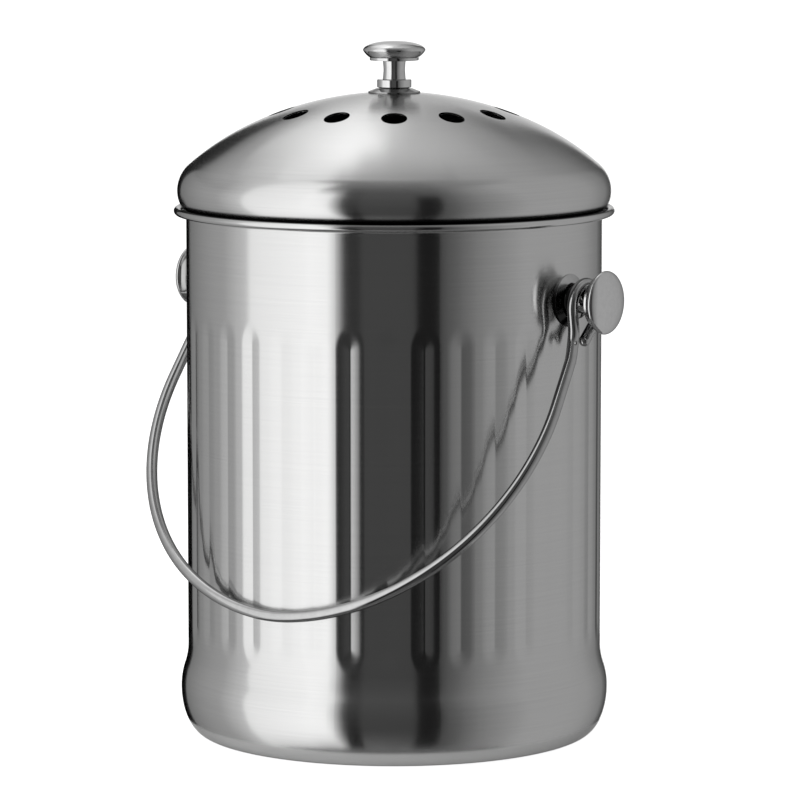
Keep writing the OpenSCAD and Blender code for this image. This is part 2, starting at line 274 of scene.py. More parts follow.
def grid_normals(grid, wrap_rows=False):
    """Normals of a grid of points whose columns wrap, from its neighbours."""
    across = np.roll(grid, -1, 1) - np.roll(grid, 1, 1)
    if wrap_rows:
        along = np.roll(grid, -1, 0) - np.roll(grid, 1, 0)
    else:
        padded = np.concatenate([2 * grid[:1] - grid[1:2], grid, 2 * grid[-1:] - grid[-2:-1]])
        along = padded[2:] - padded[:-2]
    return unit(np.cross(across, along))


def grid_object(name, grid, start_pole=None, end_pole=None, wrap_rows=False):
    """A mesh over a grid of points [row, column, xyz] whose columns wrap round."""
    rows, columns = grid.shape[:2]
    points = grid.reshape(-1, 3)
    normals = grid_normals(grid, wrap_rows).reshape(-1, 3)
    at = np.arange(rows * columns).reshape(rows, columns)
    if wrap_rows:
        at = np.concatenate([at, at[:1]])
    faces = wrapped_quads(at).tolist()
    for pole, ring, flip in ((start_pole, at[0], True), (end_pole, at[-1], False)):
        if pole is None:
            continue
        tip = len(points)
        points = np.concatenate([points, [pole]])
        normals = np.concatenate([normals, [unit(normals[ring].sum(0))]])
        pairs = zip(ring.tolist(), np.roll(ring, -1).tolist())
        faces += [[j, i, tip] if flip else [i, j, tip] for i, j in pairs]
    return make_mesh(name, points, faces, normals)


def turned(outline, angles, dip=0.0):
    """Grid of points from an outline of (radius, height) swept round +Z and pressed in by a dip."""
    outline = np.asarray(outline, float)
    r, z = outline[:, :1] - dip, outline[:, 1:]
    return np.stack([r * np.cos(angles), r * np.sin(angles), z + 0 * angles], -1)


def lathe(name, outline, steps=128, place=np.eye(4), fit=None):
    """A solid of revolution, placed by a matrix, its points fitted to what it sits on.

    An outline that starts or ends on the axis has a pole there. Any other is closed on itself.
    """
    starts, ends = outline[0, 0] < TOUCH, outline[-1, 0] < TOUCH
    body = outline[int(starts):len(outline) - int(ends)]
    turn, shift = place[:3, :3], place[:3, 3]
    grid = turned(body, whole_turn(steps)) @ turn.T + shift
    if fit:
        grid = fit(grid)
    start_pole = turn @ (0, 0, outline[0, 1]) + shift if starts else None
    end_pole = turn @ (0, 0, outline[-1, 1]) + shift if ends else None
    return grid_object(name, grid, start_pole, end_pole, wrap_rows=not starts and not ends)


def flute_dip(angle, z):
    """How far the wall is pressed in at an angle and height: a creased flute with rounded ends."""
    pitch = 2 * math.pi / FLUTES
    off = (angle - FLUTE_TURN + pitch / 2) % pitch - pitch / 2
    u = off * WALL_R / (FLUTE_W / 2)
    past = np.maximum(0, np.maximum(z - (FLUTE_Z1 - FLUTE_END), FLUTE_Z0 + FLUTE_END - z))
    a = np.sqrt(u ** 2 + (past / FLUTE_END) ** 2 + FLUTE_CREASE ** 2) - FLUTE_CREASE
    a = np.minimum(a, 1)
    gain = 1 / (1 - FLUTE_EDGE / 2)
    slope_part = 1 - gain * a
    edge_part = gain * (1 - a) ** 2 / (2 * FLUTE_EDGE)
    return FLUTE_DEPTH * np.where(a < 1 - FLUTE_EDGE, slope_part, edge_part)


def flute_angles():
    """Angles of the wall's columns, close together in each flute's crease."""
    side = np.array(FLUTE_COLUMNS) * FLUTE_W / 2 / WALL_R
    one = np.unique(np.concatenate([-side, side, [math.pi / FLUTES]]))
    turns = FLUTE_TURN + 2 * math.pi * np.arange(FLUTES) / FLUTES
    return (turns[:, None] + one).ravel()


def foot_side(t):
    """The pail's side from the base to the wall, moved in by t."""
    foot_r = WALL_R + FOOT_OUT
    rise = FOOT_TOP - FOOT_Z
    bend_r = (rise ** 2 + FOOT_OUT ** 2) / (4 * FOOT_OUT)
    bend = math.degrees(math.asin(rise / 2 / bend_r))
    a = np.radians(np.linspace(-90, 0, 25))
    swell_r = BASE_R + (foot_r - BASE_R - t) * np.cos(a)
    swell_z = FOOT_Z + (FOOT_Z - t) * np.sin(a)
    return chain(
        np.stack([swell_r, swell_z], 1),
        arc((foot_r - bend_r, FOOT_Z), bend_r - t, 0, bend, steps=12),
        arc((WALL_R + bend_r, FOOT_TOP), bend_r + t, 180 + bend, 180, steps=12),
    )


def wall_side(t):
    """The straight wall, with rows close together at the ends of the flutes."""
    r = WALL_R - t
    inside = FLUTE_END + ROWS_PAST_INSIDE
    stretches = (
        (FOOT_TOP, FLUTE_Z0, 1),
        (FLUTE_Z0, FLUTE_Z0 + inside, FLUTE_END_ROWS),
        (FLUTE_Z0 + inside, FLUTE_Z1 - inside, 12),
        (FLUTE_Z1 - inside, FLUTE_Z1 + ROWS_PAST_TOP, FLUTE_END_ROWS),
        (FLUTE_Z1 + ROWS_PAST_TOP, PAIL_H - BEAD_D - FLANGE_BEND, 4),
    )
    return chain(*[line((r, low), (r, high), rows) for low, high, rows in stretches])


def pail_side(t):
    """The pail from the middle of its bottom up to the flange, moved in by t."""
    return chain([(r, t) for r in BOTTOM_RINGS], foot_side(t), wall_side(t))


def build_pail():
    """Pressed pail, one sheet from its bottom up to the rolled bead and down again inside."""
    bead_r = BEAD_D / 2
    bead = (WALL_R + RIM_OUT - bead_r, PAIL_H - bead_r)
    bend = (WALL_R + FLANGE_BEND, PAIL_H - BEAD_D - FLANGE_BEND)
    bead_end = 180 + math.degrees(math.asin((bead[1] - SEAT_Z) / bead_r))
    outline = chain(
        pail_side(0),
        arc(bend, FLANGE_BEND, 180, 90, steps=6),
        arc(bead, bead_r, -90, bead_end, steps=28),
        arc(bend, FLANGE_BEND + SHEET, 90, 180, steps=6),
        pail_side(SHEET)[::-1],
    )
    angles = flute_angles()
    straight = np.abs(outline[:, :1] - WALL_R) <= SHEET + TOUCH
    dip = np.where(straight, flute_dip(angles, outline[:, 1:]), 0)
    return grid_object("pail", turned(outline, angles, dip), (0, 0, 0), (0, 0, SHEET))


def lid_arcs():
    """Height where the lid is widest, centres of its shoulder and flank, the slope in degrees
    where its crown ends, and the height of the crown's centre."""
    wide_z = PAIL_H + LID_RISE
    slope = math.radians(SHOULDER_SLOPE)
    shoulder = (LID_R - SHOULDER_R, wide_z)
    flank = (
        shoulder[0] - (FLANK_R - SHOULDER_R) * math.sin(slope),
        shoulder[1] - (FLANK_R - SHOULDER_R) * math.cos(slope),
    )
    crown_slope = math.asin(flank[0] / (CROWN_R - FLANK_R))
    crown_z = flank[1] - (CROWN_R - FLANK_R) * math.cos(crown_slope)
    return wide_z, shoulder, flank, math.degrees(crown_slope), crown_z


WIDE_Z, SHOULDER_AT, FLANK_AT, CROWN_SLOPE, CROWN_Z = lid_arcs()
LID_TOP = CROWN_Z + CROWN_R


def dome_height(r, t=0):
    """Height of the crown, moved in by t, at a radius."""
    return CROWN_Z + np.sqrt((CROWN_R - t) ** 2 - r ** 2)


def on_crown(flat, t=0):
    """Points of the plane lifted to the crown, moved in by t."""
    return np.concatenate([flat, dome_height(np.linalg.norm(flat, axis=-1), t)[..., None]], -1)


def crown_side(t):
    """The crown from the knob's hole out to the ring of vents, moved in by t."""
    start, end = (math.degrees(math.acos(r / (CROWN_R - t))) for r in (CLEAR_R, CELL_IN))
    return arc((0, CROWN_Z), CROWN_R - t, start, end, steps=8)


def lid_side(t):
    """The lid's side from the ring of vents out to the skirt's edge, moved in by t."""
    start = math.degrees(math.acos(CELL_OUT / (CROWN_R - t)))
    skirt = (LID_R - SKIRT_R, WIDE_Z)
    skirt_end = -math.degrees(math.asin((WIDE_Z - LID_EDGE) / (SKIRT_R - t)))
    return chain(
        arc((0, CROWN_Z), CROWN_R - t, start, 90 - CROWN_SLOPE, steps=6),
        arc(FLANK_AT, FLANK_R - t, 90 - CROWN_SLOPE, 90 - SHOULDER_SLOPE, steps=16),
        arc(SHOULDER_AT, SHOULDER_R - t, 90 - SHOULDER_SLOPE, 0, steps=20),
        arc(skirt, SKIRT_R - t, 0, skirt_end, steps=16),
    )


def cell_border(middle):
    """Border of one vent's cell, in the plane, as points round it anticlockwise."""
    t = np.linspace(-1, 1, CELL_STEPS + 1)[:-1]
    whole = np.ones(CELL_STEPS)
    outwards = CELL_IN + (CELL_OUT - CELL_IN) * (t + 1) / 2
    inwards = CELL_IN + CELL_OUT - outwards
    r = np.concatenate([outwards, whole * CELL_OUT, inwards, whole * CELL_IN])
    a = middle + np.concatenate([-whole, t, whole, -t]) * math.pi / VENTS
    return np.stack([r * np.cos(a), r * np.sin(a)], 1)


def vent_place(number):
    """Middle of a vent in the plane, the border of its cell, and the ways from one to the other."""
    middle = VENT_TURN + 2 * math.pi * number / VENTS
    centre = VENT_RING * np.array([math.cos(middle), math.sin(middle)])
    border = cell_border(middle)
    return centre, border, unit(border - centre)


def vent_cell(number, t):
    """Rings of points from a vent's edge out to its cell's border, on the crown moved in by t."""
    centre, border, away = vent_place(number)
    edge = centre + away * (VENT_R + VENT_EDGE)
    return on_crown(np.stack([edge * (1 - s) + border * s for s in CELL_RINGS]), t)


class Patches:
    """Points, normals and faces of one mesh, gathered from grids whose columns wrap."""

    def __init__(self):
        self.points, self.normals, self.faces = [], [], []

    def add(self, grid, normals):
        """Takes in a grid's points, and says their numbers in the same rows and columns."""
        start = sum(len(points) for points in self.points)
        self.points.append(grid.reshape(-1, 3))
        self.normals.append(normals.reshape(-1, 3))
        return start + np.arange(grid[..., 0].size).reshape(grid.shape[:-1])

    def skin(self, at, flip):
        """Puts faces between rows of point numbers."""
        quads = wrapped_quads(at)
        self.faces.extend((quads[:, ::-1] if flip else quads).tolist())

    def made(self, name):
        """The mesh object of all that was gathered."""
        return make_mesh(name, np.concatenate(self.points), self.faces, np.concatenate(self.normals))


def lid_face(patches, t, way):
    """One face of the lid, moved in by t, that looks out where way is 1 and in where it is -1.

    Returns the point numbers of its inmost ring, of its outmost ring and of each vent's edge.
    """
    angles = VENT_TURN - math.pi / VENTS + whole_turn(VENTS * CELL_STEPS)
    crown, side = turned(crown_side(t), angles), turned(lid_side(t), angles)
    cells = [vent_cell(number, t) for number in range(VENTS)]

    def outward(grid):
        return way * unit(grid - [0, 0, CROWN_Z])

    crown_at = patches.add(crown, outward(crown))
    side_at = patches.add(side, -way * grid_normals(side))
    cells_at = [patches.add(cell, outward(cell)) for cell in cells]
    for at in (crown_at, side_at, *cells_at):
        patches.skin(at, way > 0)
    return crown_at[0], side_at[-1], [at[0] for at in cells_at]


def vent_wall(patches, number, top_edge, under_edge):
    """Wall of a punched vent, between its edges on the lid's two faces."""
    centre, _, away = vent_place(number)
    rings, normals = [], []
    for out, drop, level, up in VENT_WALL:
        ring = on_crown(centre + away * (VENT_R + VENT_EDGE * out))
        rings.append(ring - [0, 0, drop])
        normals.append(np.concatenate([-away * level, np.full((len(away), 1), up)], -1))
    wall_at = patches.add(np.stack(rings), unit(np.stack(normals)))
    patches.skin(np.stack([top_edge, *wall_at, under_edge]), True)


def build_lid():
    """Domed lid with punched vents: both faces of its sheet, and the edges between them."""
    patches = Patches()
    top_hole, top_rim, top_vents = lid_face(patches, 0, 1)
    under_hole, under_rim, under_vents = lid_face(patches, SHEET, -1)
    for number in range(VENTS):
        vent_wall(patches, number, top_vents[number], under_vents[number])
    patches.skin(np.stack([top_hole, under_hole]), True)
    patches.skin(np.stack([top_rim, under_rim]), False)
    return patches.made("lid")


def build_plug_ring():
    """Ring welded inside the lid's edge, its lower edge rounded."""
    inner = PLUG_R - SHEET
    outer = (LID_R - SKIRT_R) + math.sqrt(SKIRT_R ** 2 - (WIDE_Z - LID_EDGE) ** 2)
    low, under, start = LID_EDGE - PLUG_H, LID_EDGE - SHEET, LID_EDGE - 1
    loop = filleted([
        (inner, start, 0), (inner, low, 0.25), (PLUG_R, low, 0.25), (PLUG_R, under, 0.3),
        (outer, under, 0.2), (outer, LID_EDGE, 0.2), (inner, LID_EDGE, 0.3),
        (inner, start + LOOP_STEP, 0),
    ])
    return lathe("lid_ring", loop, steps=192)


def knob_bowl():
    """Centre of the arc from the knob's lip to its widest ring, and its first and last angle."""
    low, high = np.array([LIP_R, LIP_TOP]), np.array([KNOB_R, KNOB_WIDE])
    chord = high - low
    inward = np.array([-chord[1], chord[0]]) / np.linalg.norm(chord)
    centre = (low + high) / 2 + math.sqrt(BOWL_R ** 2 - chord @ chord / 4) * inward
    start, end = (math.degrees(math.atan2(*(p - centre)[::-1])) for p in (low, high))
    return centre, start, end


def knob_face():
    """The knob's face from its edge to the middle, a quarter ellipse made a little fuller."""
    t = np.radians(np.linspace(FACE_START, 0, 28))
    r = KNOB_R * np.sin(t) ** (2 / FACE_FULL)
    z = KNOB_WIDE + (KNOB_TOP - KNOB_WIDE) * np.cos(t) ** (2 / FACE_FULL)
    return np.stack([r, z], 1)


def knob_outline():
    """The knob's outline: out of its bore, round its foot, up its side and over its face."""
    centre, start, end = knob_bowl()
    near_lip, near_edge = arc(centre, BOWL_R, start + BOWL_SOFT, end - BOWL_SOFT, steps=1)
    face = knob_face()
    return chain(
        filleted([
            (0, BORE_END + BORE_POINT, 0), (BORE_R, BORE_END, 0.2), (BORE_R, KNOB_FOOT, 0.3),
            (GROOVE_R, KNOB_FOOT, 0.05), (GROOVE_R, GROOVE_Z, 0.05), (COLLAR_R, GROOVE_Z, 0.3),
            (COLLAR_R, COLLAR_TOP, 0.5), (STEM_R + STEM_FLARE, COLLAR_TOP, 0.3),
            (STEM_R - STEM_WAIST, (COLLAR_TOP + STEM_TOP) / 2, 12.0),
            (STEM_R + STEM_FLARE, STEM_TOP, 0.5), (LIP_R, STEM_TOP, 0.25),
            (LIP_R, LIP_TOP, 0.15), (*near_lip, 0),
        ]),
        arc(centre, BOWL_R, start + 2 * BOWL_SOFT, end - 2 * BOWL_SOFT, steps=12),
        filleted([(*near_edge, 0), (KNOB_R, KNOB_WIDE, 0.5), (*face[0], 0)]),
        face,
    )


def cone_outline():
    """The cone washer's outline, its back drawn deep enough to be fitted to the sheet."""
    return filleted([
        (CLEAR_R, CONE_BACK, 0), (CONE_R - CONE_CHAMFER, CONE_BACK, 0),
        (CONE_R, CONE_BACK + CONE_CHAMFER, 0), (CONE_R, CONE_EDGE, 0.15),
        (CONE_TOP_R, CONE_H, 0.2), (CLEAR_R, CONE_H, 0.1), (CLEAR_R, CONE_BACK + LOOP_STEP, 0),
    ])


def on_side(side):
    """Matrix that turns +Z to point out from the wall on one side, at its post."""
    return np.array([
        [0, 0, side, side * WALL_R],
        [0, side, 0, 0],
        [-1, 0, 0, POST_Z],
        [0, 0, 0, 1],
    ], float)


def on_top():
    """Matrix that lifts a piece to the top of the lid."""
    place = np.eye(4)
    place[2, 3] = LID_TOP
    return place


def fit_to_wall(grid):
    """Draws points that lie inside the wall out to its surface."""
    reach = np.sqrt(np.maximum(0, WALL_R ** 2 - grid[..., 1] ** 2)) + WASHER_GAP
    x = grid[..., 0]
    out = grid.copy()
    out[..., 0] = np.where(np.abs(x) < reach, np.sign(x) * reach, x)
    return out


def fit_to_lid(grid):
    """Draws points that lie inside the lid out to its surface."""
    r = np.linalg.norm(grid[..., :2], axis=-1)
    out = grid.copy()
    out[..., 2] = np.maximum(grid[..., 2], dome_height(r) + WASHER_GAP)
    return out


def bail_line():
    """Middle line of the hanging wire, from the middle of its nose to its right-hand tail."""
    nose_z = BAIL_DROP - NOSE_R
    swing_x = (NOSE_R - BAIL_R) * math.sin(NOSE_TURN)
    swing_z = nose_z + (NOSE_R - BAIL_R) * math.cos(NOSE_TURN)
    a = np.linspace(0, NOSE_TURN, 7)
    nose = np.stack([NOSE_R * np.sin(a), 0 * a, -nose_z - NOSE_R * np.cos(a)], 1)
    a = np.linspace(NOSE_TURN, BAIL_TURN, 70)
    swing = np.stack([swing_x + BAIL_R * np.sin(a), 0 * a, -swing_z - BAIL_R * np.cos(a)], 1)
    end = swing[-1]
    hook_x = end[0] + (-end[2] - HOOK_NECK) / math.tan(BAIL_TURN)
    kink = np.array([hook_x, 0, -HOOK_NECK])
    dip = math.asin(HOOK_R / HOOK_NECK)
    start = np.array([hook_x, -HOOK_R * math.cos(dip), -HOOK_R * math.sin(dip)])
    before = kink - KINK_SOFT * unit(kink - end)
    after = kink + KINK_SOFT * unit(start - kink)
    a = np.linspace(math.pi + dip, -HOOK_OVER, 48)
    hook = np.stack([0 * a + hook_x, HOOK_R * np.cos(a), HOOK_R * np.sin(a)], 1)
    tail_way = np.array([0, -math.sin(HOOK_OVER), -math.cos(HOOK_OVER)])
    return chain(
        nose, swing,
        line(end, before, steps=8),
        bent(before, kink, after, steps=8),
        line(after, start, steps=3),
        hook,
        line(hook[-1], hook[-1] + HOOK_TAIL * tail_way, steps=6),
    )


def bail_path():
    """The whole wire's middle line, drawn a little to the right below its hooks."""
    half = bail_line()
    path = np.concatenate([half[:0:-1] * [-1, 1, 1], half])
    below = np.clip((-path[:, 2] - HOOK_NECK) / BAIL_SHIFT_WAY, 0, 1)
    path[:, 0] += BAIL_SHIFT * below ** 2 * (3 - 2 * below)
    return path


def frames_along(path):
    """The way of a path at each of its points, and a way across it that turns as little as it can."""
    way = unit(np.gradient(path, axis=0))
    cross = np.empty_like(way)
    cross[0] = unit(np.cross(way[0], [1, 0, 0]))
    for i in range(1, len(way)):
        cross[i] = unit(cross[i - 1] - way[i] * (cross[i - 1] @ way[i]))
    return way, cross


def build_bail():
    """Round wire swept along the bail's line, its tails rounded, leaning on the wall."""
    path = bail_path()
    way, cross = frames_along(path)
    start_tip, end_tip = path[0] - way[0] * WIRE_R, path[-1] + way[-1] * WIRE_R
    sunk, slim = WIRE_R * np.sin(TAIL_CAP), WIRE_R * np.cos(TAIL_CAP)
    radius = np.concatenate([slim[::-1], np.full(len(path), WIRE_R), slim])
    first = path[0] - way[0] * sunk[::-1, None]
    last = path[-1] + way[-1] * sunk[:, None]
    path = np.concatenate([first, path, last])
    caps = ((len(TAIL_CAP), len(TAIL_CAP)), (0, 0))
    way, cross = np.pad(way, caps, "edge"), np.pad(cross, caps, "edge")
    a = whole_turn(WIRE_SIDES)[None, :, None]
    ring = np.cos(a) * cross[:, None] + np.sin(a) * np.cross(way, cross)[:, None]
    c, s = math.cos(-BAIL_LEAN), math.sin(-BAIL_LEAN)
    lean = np.array([[1, 0, 0], [0, c, -s], [0, s, c]])

    def hung(points):
        return points @ lean.T + [0, 0, BAIL_Z]

    grid = path[:, None] + radius[:, None, None] * ring
    return grid_object("bail", hung(grid), hung(start_tip), hung(end_tip))


def felt_wave(x, y):
    """Waves of the felt's face, 20 to 30 mm long and mixed so that they don't repeat."""
    return np.sin(x * 0.31 + 1.3) * np.sin(y * 0.27 + 0.4) + 0.6 * np.sin(x * 0.11 - y * 0.17)


def build_filter():
    """Felt pad with soft edges and a slightly uneven face."""
    base = LID_EDGE - PLUG_H + SHEET + TRAY_FLOOR
    low, high = base + FELT_LIFT, base + FILTER_T - FELT_SLACK
    flat_r = FILTER_R - FELT_EDGE - FELT_SLACK
    outline = chain(
        (0, low),
        line((FELT_MIDDLE, low), (flat_r, low), steps=24),
        arc((flat_r, low + FELT_EDGE), FELT_EDGE, -90, 0, steps=6),
        arc((flat_r, high - FELT_EDGE), FELT_EDGE, 0, 90, steps=6),
        line((flat_r, high), (FELT_MIDDLE, high), steps=24),
        (0, high - FELT_DISH),
    )

    def uneven(grid):
        x, y, z = np.moveaxis(grid, -1, 0)
        sunk = np.where(z > high - FELT_FACE, FELT_WAVE * (1 + felt_wave(x, y)), 0)
        return np.stack([x, y, z - sunk], -1)

    return lathe("filter_felt", outline, steps=144, fit=uneven)


def set_inputs(tree, node, inputs):
    """Links inputs of a node, by name or number, to sockets, or gives them plain values."""
    for key, value in inputs.items():
        if isinstance(value, bpy.types.NodeSocket):
            tree.links.new(value, node.inputs[key])
        else:
            node.inputs[key].default_value = value


def put(tree, kind, inputs, **settings):
    """Adds a node to a tree and returns its outputs."""
    node = tree.nodes.new("ShaderNode" + kind)
    for key, value in settings.items():
        setattr(node, key, value)
    set_inputs(tree, node, inputs)
    return node.outputs


def worked(tree, operation, *terms, **settings):
    """What an operation makes of sockets and numbers."""
    return put(tree, "Math", dict(enumerate(terms)), operation=operation, **settings)["Value"]


def new_material(name):
    """A material, its node tree and its Principled shader."""
    material = bpy.data.materials.new(name)
    material.use_nodes = True
    return material, material.node_tree, material.node_tree.nodes["Principled BSDF"]


def own_place(tree):
    """Where a point lies in its piece's own frame, in metres."""
    return put(tree, "TexCoord", {})["Object"]


def own_parts(tree):
    """X, Y and Z of a point in its piece's own frame."""
    return put(tree, "SeparateXYZ", {"Vector": own_place(tree)})


def radius_from(tree, parts):
    """Level place of a point and its distance from the axis."""
    flat = put(tree, "CombineXYZ", {"X": parts["X"], "Y": parts["Y"]})["Vector"]
    return flat, put(tree, "VectorMath", {0: flat}, operation="LENGTH")["Value"]


def stretched_noise(tree, scale, detail, rough=0.6):
    """Noise over the piece, stretched by a scale along each axis, in turns per metre."""
    sized = put(tree, "Mapping", {"Vector": own_place(tree), "Scale": scale})["Vector"]
    return put(tree, "TexNoise", {
        "Vector": sized, "Scale": 1.0, "Detail": detail, "Roughness": rough,
    })["Fac"]


# Noise of the brushed lines, in turns per metre along them and across them. On the lid, this
# share of the height is taken from the radius, so that the rings go on down its steep side.
BRUSH_SLOW = 14
BRUSH_FINE = 5200
LID_FALL = 0.8


def pail_lines(tree):
    """Brushed lines of the pail and the lid's ring, level round +Z."""
    return stretched_noise(tree, (BRUSH_SLOW, BRUSH_SLOW, BRUSH_FINE), 4.0, 0.65)


def lid_lines(tree):
    """Brushed lines of the lid, rings round +Z down the whole of the dome."""
    parts = own_parts(tree)
    flat, far = radius_from(tree, parts)
    down = worked(tree, "SUBTRACT", far, worked(tree, "MULTIPLY", parts["Z"], LID_FALL))
    slow = put(tree, "VectorMath", {0: flat, "Scale": BRUSH_SLOW}, operation="SCALE")["Vector"]
    slow_parts = put(tree, "SeparateXYZ", {"Vector": slow})
    place = put(tree, "CombineXYZ", {
        "X": slow_parts["X"], "Y": slow_parts["Y"], "Z": worked(tree, "MULTIPLY", down, BRUSH_FINE),
    })["Vector"]
    return put(tree, "TexNoise", {"Vector": place, "Scale": 1.0, "Detail": 4.0})["Fac"]


def spread(tree, value, low, high):
    """Maps noise, which stays near a half, to a range."""
    return put(tree, "MapRange", {
        "Value": value, "From Min": 0.3, "From Max": 0.7, "To Min": low, "To Max": high,
    })["Result"]


def climb(tree, value, low, high, dark):
    """A factor that climbs from dark to 1 as a value in metres passes two lengths in millimetres."""
    return put(tree, "MapRange", {
        "Value": value, "From Min": low * MM, "From Max": high * MM, "To Min": dark, "To Max": 1.0,
    }, interpolation_type="SMOOTHSTEP")["Result"]


def tinted(tree, noise, dark, light, shade=None):
    """A colour between two by noise, times the factor of a shade."""
    mixed = put(tree, "Mix", {
        "Factor": spread(tree, noise, 0, 1), "A": (*dark, 1), "B": (*light, 1),
    }, data_type="RGBA")["Result"]
    if shade is None:
        return mixed
    return put(tree, "VectorMath", {0: mixed, "Scale": shade(tree)}, operation="SCALE")["Vector"]


def bumped(tree, height, depth):
    """A normal that raises the surface by noise, over a depth in metres."""
    return put(tree, "Bump", {"Strength": 1.0, "Distance": depth, "Height": height})["Normal"]


def shade_above(tree, low, high, dark):
    """A factor that climbs with the height, from dark at one height to 1 at another."""
    return climb(tree, own_parts(tree)["Z"], low, high, dark)


def shade_outside(tree, low, high, from_z, dark):
    """A factor of 1 below a height, that above it climbs outwards from dark at one radius to 1."""
    parts = own_parts(tree)
    _, far = radius_from(tree, parts)
    below = worked(tree, "LESS_THAN", parts["Z"], from_z * MM)
    return worked(tree, "MAXIMUM", climb(tree, far, low, high, dark), below)


def painted_seam_shade_on_lid(tree):
    """Painted shade of the narrow seam between the lid and the rim, on the lid's side of it."""
    return shade_above(tree, low=LID_EDGE + 1.2, high=LID_EDGE + 4.6, dark=0.04)


def painted_seam_shade_on_pail(tree):
    """Painted shade of the seam on the rim's side, over the top of the bead."""
    bead_at = WALL_R + RIM_OUT - BEAD_D / 2
    return shade_outside(tree, bead_at + 0.7, bead_at + 1.3, from_z=SEAT_Z + 1.0, dark=0.03)


def painted_seam_shade_under_knob(tree):
    """Painted shade of the seam between the lid's knob and its washer."""
    seam_z = LID_TOP + CONE_H
    return shade_above(tree, low=seam_z + 0.25, high=seam_z + 0.65, dark=0.02)


def painted_shade_at_wall(tree):
    """Painted shade on a side post's collar, which stands between the wire and the wall."""
    collar_at = WALL_R + COLLAR_TOP
    return shade_outside(tree, collar_at - 0.6, collar_at + 0.6, from_z=0, dark=0.10)


def painted_shade_under_hook(tree):
    """Painted shade on a side washer below the hook that bends over its post."""
    return shade_above(tree, low=POST_Z + 1.5, high=POST_Z + 8.5, dark=0.06)


def grey(level):
    """A grey colour."""
    return (level, level, level)


def brushed_steel(name, lines_of, smudge, roughness, anisotropy, shade=None):
    """Steel brushed in rings round +Z: the fine lines spread a reflection across themselves."""
    material, tree, shader = new_material(name)
    lines = lines_of(tree)
    patchy = stretched_noise(tree, (smudge,) * 3, 2.0)
    rough_lines = spread(tree, lines, roughness - 0.03, roughness + 0.03)
    rough_patches = spread(tree, patchy, -0.015, 0.02)
    set_inputs(tree, shader, {
        "Base Color": tinted(tree, lines, grey(0.60), (0.66, 0.66, 0.655), shade),
        "Metallic": 1.0,
        "Roughness": worked(tree, "ADD", rough_lines, rough_patches),
        "Normal": bumped(tree, lines, 0.000004),
        "Specular Tint": (*grey(0.55), 1),
        "Anisotropic": anisotropy,
        "Anisotropic Rotation": 0.25,
        "Tangent": put(tree, "Tangent", {}, direction_type="RADIAL", axis="Z")["Tangent"],
    })
    return material


def polished_steel(name, grain, roughness, level=0.64, shade=None):
    """Polished steel with the faint marks that polishing leaves."""
    material, tree, shader = new_material(name)
    marks = stretched_noise(tree, (grain,) * 3, 4.0)
    set_inputs(tree, shader, {
        "Base Color": tinted(tree, marks, grey(level - 0.02), grey(level + 0.03), shade),
        "Metallic": 1.0,
        "Roughness": spread(tree, marks, roughness - 0.02, roughness + 0.03),
        "Normal": bumped(tree, marks, 0.000003),
        "Specular Tint": (*grey(0.5), 1),
    })
    return material


def plain_matt(name, dark, light, grain, depth, roughness):
    """Rubber, plastic or felt: a matt colour with a grain."""
    material, tree, shader = new_material(name)
    speck = stretched_noise(tree, (grain,) * 3, 5.0)
    set_inputs(tree, shader, {
        "Base Color": tinted(tree, speck, dark, light),
        "Roughness": spread(tree, speck, roughness - 0.08, roughness + 0.08),
        "Normal": bumped(tree, speck, depth),
    })
    return material


def seen_in_mirrors(tree):
    """The light paths, and a factor of 1 for the rays that a mirror or glass sends on."""
    path = put(tree, "LightPath", {})
    return path, worked(tree, "ADD", path["Is Glossy Ray"], path["Is Transmission Ray"])


def floor_material(name, level, camera_level, mirror_level):
    """A pale matt floor that is lifted towards white where it is seen or mirrored."""
    material, tree, shader = new_material(name)
    path, mirrored = seen_in_mirrors(tree)
    low = worked(tree, "MULTIPLY", mirrored, mirror_level)
    set_inputs(tree, shader, {
        "Base Color": (*grey(level), 1),
        "Roughness": 0.9,
        "Specular IOR Level": 0.0,
        "Emission Color": (*grey(1), 1),
        "Emission Strength": worked(tree, "MULTIPLY_ADD", path["Is Camera Ray"], camera_level, low),
    })
    return material


def set_material(obj, material):
    """Gives an object one material."""
    obj.data.materials.clear()
    obj.data.materials.append(material)


def add_piece(obj, body, material, node):
    """Rides a piece on its body, gives it its finish, and hides the imported node that it stands for."""
    set_material(obj, material)
    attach(obj, body)
    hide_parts(node)


def build_floor():
    """Pale floor: a round tabletop under the pail, and the floor about it that mirrors don't show."""
    material = floor_material("floor_pale", 0.8, camera_level=0.84, mirror_level=0.25)
    for name, inner, outer in (("tabletop", TABLE_HOLE_R, TABLE_R), ("floor", TABLE_R, FLOOR_R)):
        obj = grid_object(name, turned([(outer, FLOOR_Z), (inner, FLOOR_Z)], whole_turn(96)))
        set_material(obj, material)
        if name == "floor":
            obj.visible_glossy = False


